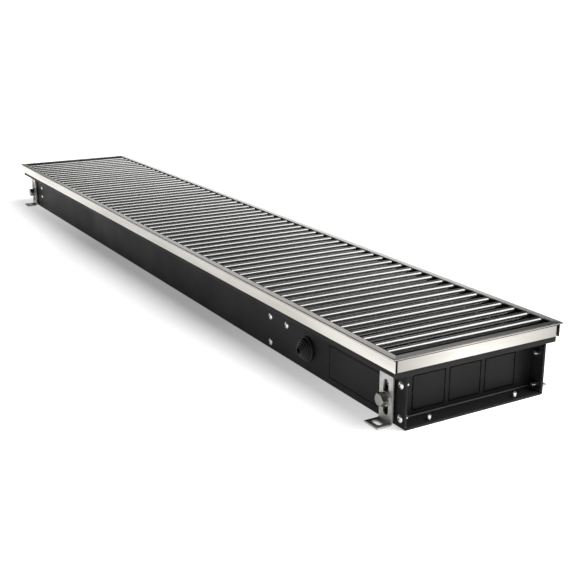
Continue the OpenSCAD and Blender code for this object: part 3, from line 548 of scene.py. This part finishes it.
dress(fin_metal, "fin_pack")
dress(copper, "coil_tubes", "return_bend_near", "return_bends_far")
dress(brass, "flow_union", "return_union", "vent_plug")
print("metals on rivets, fins, tubes and fittings")

# %% [markdown]
# Rubber and plastic pieces are moulded. A mould that was eroded or blasted leaves a fine even texture,
# and rubber is duller than plastic, with a dusty bloom in cloudy patches.

# %% Moulded pieces
def moulded(name, base, bloom, low_rough, high_rough, texture):
    """Rubber or plastic with a mould's fine texture and a cloudy bloom."""
    material, tree, shader = new_material(name)
    dust = stretched_noise(tree, (45, 45, 45), detail=5)
    link(tree, mixed_colour(tree, between(tree, dust, 0, 1), base, bloom), shader.inputs["Base Color"])
    link(tree, between(tree, dust, low_rough, high_rough), shader.inputs["Roughness"])
    link(tree, bumped(tree, stretched_noise(tree, (texture, texture, texture), detail=2), 0.00008, 0.3),
         shader.inputs["Normal"])
    return material


rubber = moulded("moulded_rubber", (0.010, 0.010, 0.010), (0.024, 0.023, 0.022), 0.5, 0.68, 1800)
black_plastic = moulded("black_plastic", (0.012, 0.012, 0.012), (0.02, 0.02, 0.02), 0.4, 0.5, 2200)
white_plastic = moulded("white_plastic", (0.72, 0.72, 0.68), (0.80, 0.80, 0.77), 0.38, 0.5, 2200)
spacers = ["grille_spacers"] + sorted(name for name in nodes if name.startswith("link_spacers_"))
dress(rubber, "support_strip_front", "support_strip_back", "cable_grommet")
dress(black_plastic, *spacers)
dress(white_plastic, "tube_bushes")
print("moulded finishes on", len(spacers) + 4, "pieces")

# %% [markdown]
# The rubber grommet is a dome of five soft ribs that gets cut open to suit the cable. Half of its
# outline is drawn as a few corners, spun round the axis of its hole, and then every ring of edges is
# bevelled, because moulded rubber has no sharp corner.

# %% Ribbed grommet
grommet_low, grommet_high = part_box("cable_grommet")
flange_r = (grommet_high[0] - grommet_low[0]) / 2
grommet_axis = Vector((grommet_low[0] + flange_r, grommet_low[1], grommet_low[2] + flange_r))
sheet_out = 0.012
sheet_in = 0.0132
groove_r = 0.012
hollow_r = 0.0105
tip_hole_r = 0.0035
tip_depth = 0.0019
rib_outline = [(0.0128, 0.0095), (0.0119, 0.0076), (0.0102, 0.0057), (0.0079, 0.0038), (0.0052, 0.0019)]
soft_edge = 0.0005
sharp_angle = 0.5
spin_steps = 56

outline = [(hollow_r, grommet_high[1] - grommet_low[1]), (flange_r, grommet_high[1] - grommet_low[1]),
           (flange_r, sheet_in), (groove_r, sheet_in), (groove_r, sheet_out), (flange_r, sheet_out),
           (flange_r, rib_outline[0][1])]
for radius, depth in rib_outline:
    outline += [(radius, depth), (radius, depth - tip_depth)]
outline += [(tip_hole_r, 0), (tip_hole_r, tip_depth), (hollow_r, rib_outline[0][1])]
shape = bmesh.new()
corners = [shape.verts.new(grommet_axis + Vector((radius, depth, 0))) for radius, depth in outline]
profile = [shape.edges.new((corners[i - 1], corners[i])) for i in range(len(corners))]
bmesh.ops.spin(shape, geom=corners + profile, cent=grommet_axis, axis=(0, 1, 0), angle=2 * math.pi,
               steps=spin_steps, use_merge=True)
bmesh.ops.recalc_face_normals(shape, faces=shape.faces)
rings = [edge for edge in shape.edges if edge.calc_face_angle(0) > sharp_angle]
bmesh.ops.bevel(shape, geom=rings, offset=soft_edge, affect="EDGES", segments=2, profile=0.5, material=-1)
for face in shape.faces:
    face.smooth = True
grommet_mesh = bpy.data.meshes.new("ribbed_grommet")
shape.to_mesh(grommet_mesh)
shape.free()
grommet_mesh.materials.append(rubber)
grommet = bpy.data.objects.new("ribbed_grommet", grommet_mesh)
bpy.context.collection.objects.link(grommet)
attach(grommet, "heater")
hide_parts("cable_grommet")
print("grommet of", len(rib_outline), "ribs,", len(grommet_mesh.polygons), "faces")

# %% [markdown]
# A blind rivet keeps the end of its steel pin in the middle of the bright head. The pin is coloured near
# black, a painted shade that stands for the shade in the rivet's hole. Each rivet is found as a loose part
# of its imported mesh, and a short pin is set flush into its outer side. The rivets in the floor show only
# their blind ends, so they get none.

# %% Steel pins in the rivets
pin_r = 0.0012
pin_l = 0.0012
pin_sides = 16
weld_distance = 0.000001


def loose_parts(mesh):
    """The two corners of the box round every loose part of a mesh."""
    shape = bmesh.new()
    shape.from_mesh(mesh)
    bmesh.ops.remove_doubles(shape, verts=shape.verts, dist=weld_distance)
    waiting = set(shape.verts)
    spans = []
    while waiting:
        found = [waiting.pop()]
        for corner in found:
            fresh = {edge.other_vert(corner) for edge in corner.link_edges} & waiting
            waiting -= fresh
            found += fresh
        columns = list(zip(*(corner.co for corner in found)))
        spans.append(([min(column) for column in columns], [max(column) for column in columns]))
    shape.free()
    return sorted(spans)


shape = bmesh.new()
pins = 0
for name in ("panel_rivets", "partition_rivets", "guide_rivets", "clip_rivet"):
    for low, high in loose_parts(nodes[name].data):
        outward = 1 if low[1] > 0 else -1
        face_y = high[1] if outward > 0 else low[1]
        middle_y = face_y - outward * pin_l / 2
        place = Matrix.Translation(((low[0] + high[0]) / 2, middle_y, (low[2] + high[2]) / 2))
        bmesh.ops.create_cone(shape, cap_ends=True, segments=pin_sides, radius1=pin_r, radius2=pin_r,
                              depth=pin_l, matrix=place @ Matrix.Rotation(math.pi / 2, 4, "X"))
        pins += 1
# The pin's end is coloured near black, a painted shade for the rivet's hole.
pin_shade_metal = handled_metal("pin_with_painted_shade", (0.07, 0.07, 0.07), (0.03, 0.03, 0.03), 0.4, 0.55, even_marks)
pin_mesh = bpy.data.meshes.new("rivet_pins")
shape.to_mesh(pin_mesh)
shape.free()
pin_mesh.materials.append(pin_shade_metal)
rivet_pins = bpy.data.objects.new("rivet_pins", pin_mesh)
bpy.context.collection.objects.link(rivet_pins)
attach(rivet_pins, "heater")
print(pins, "pins in the rivets")

# %% [markdown]
# The last cell sets the view transform to Standard.

# %% View transform
bpy.context.scene.view_settings.view_transform = "Standard"
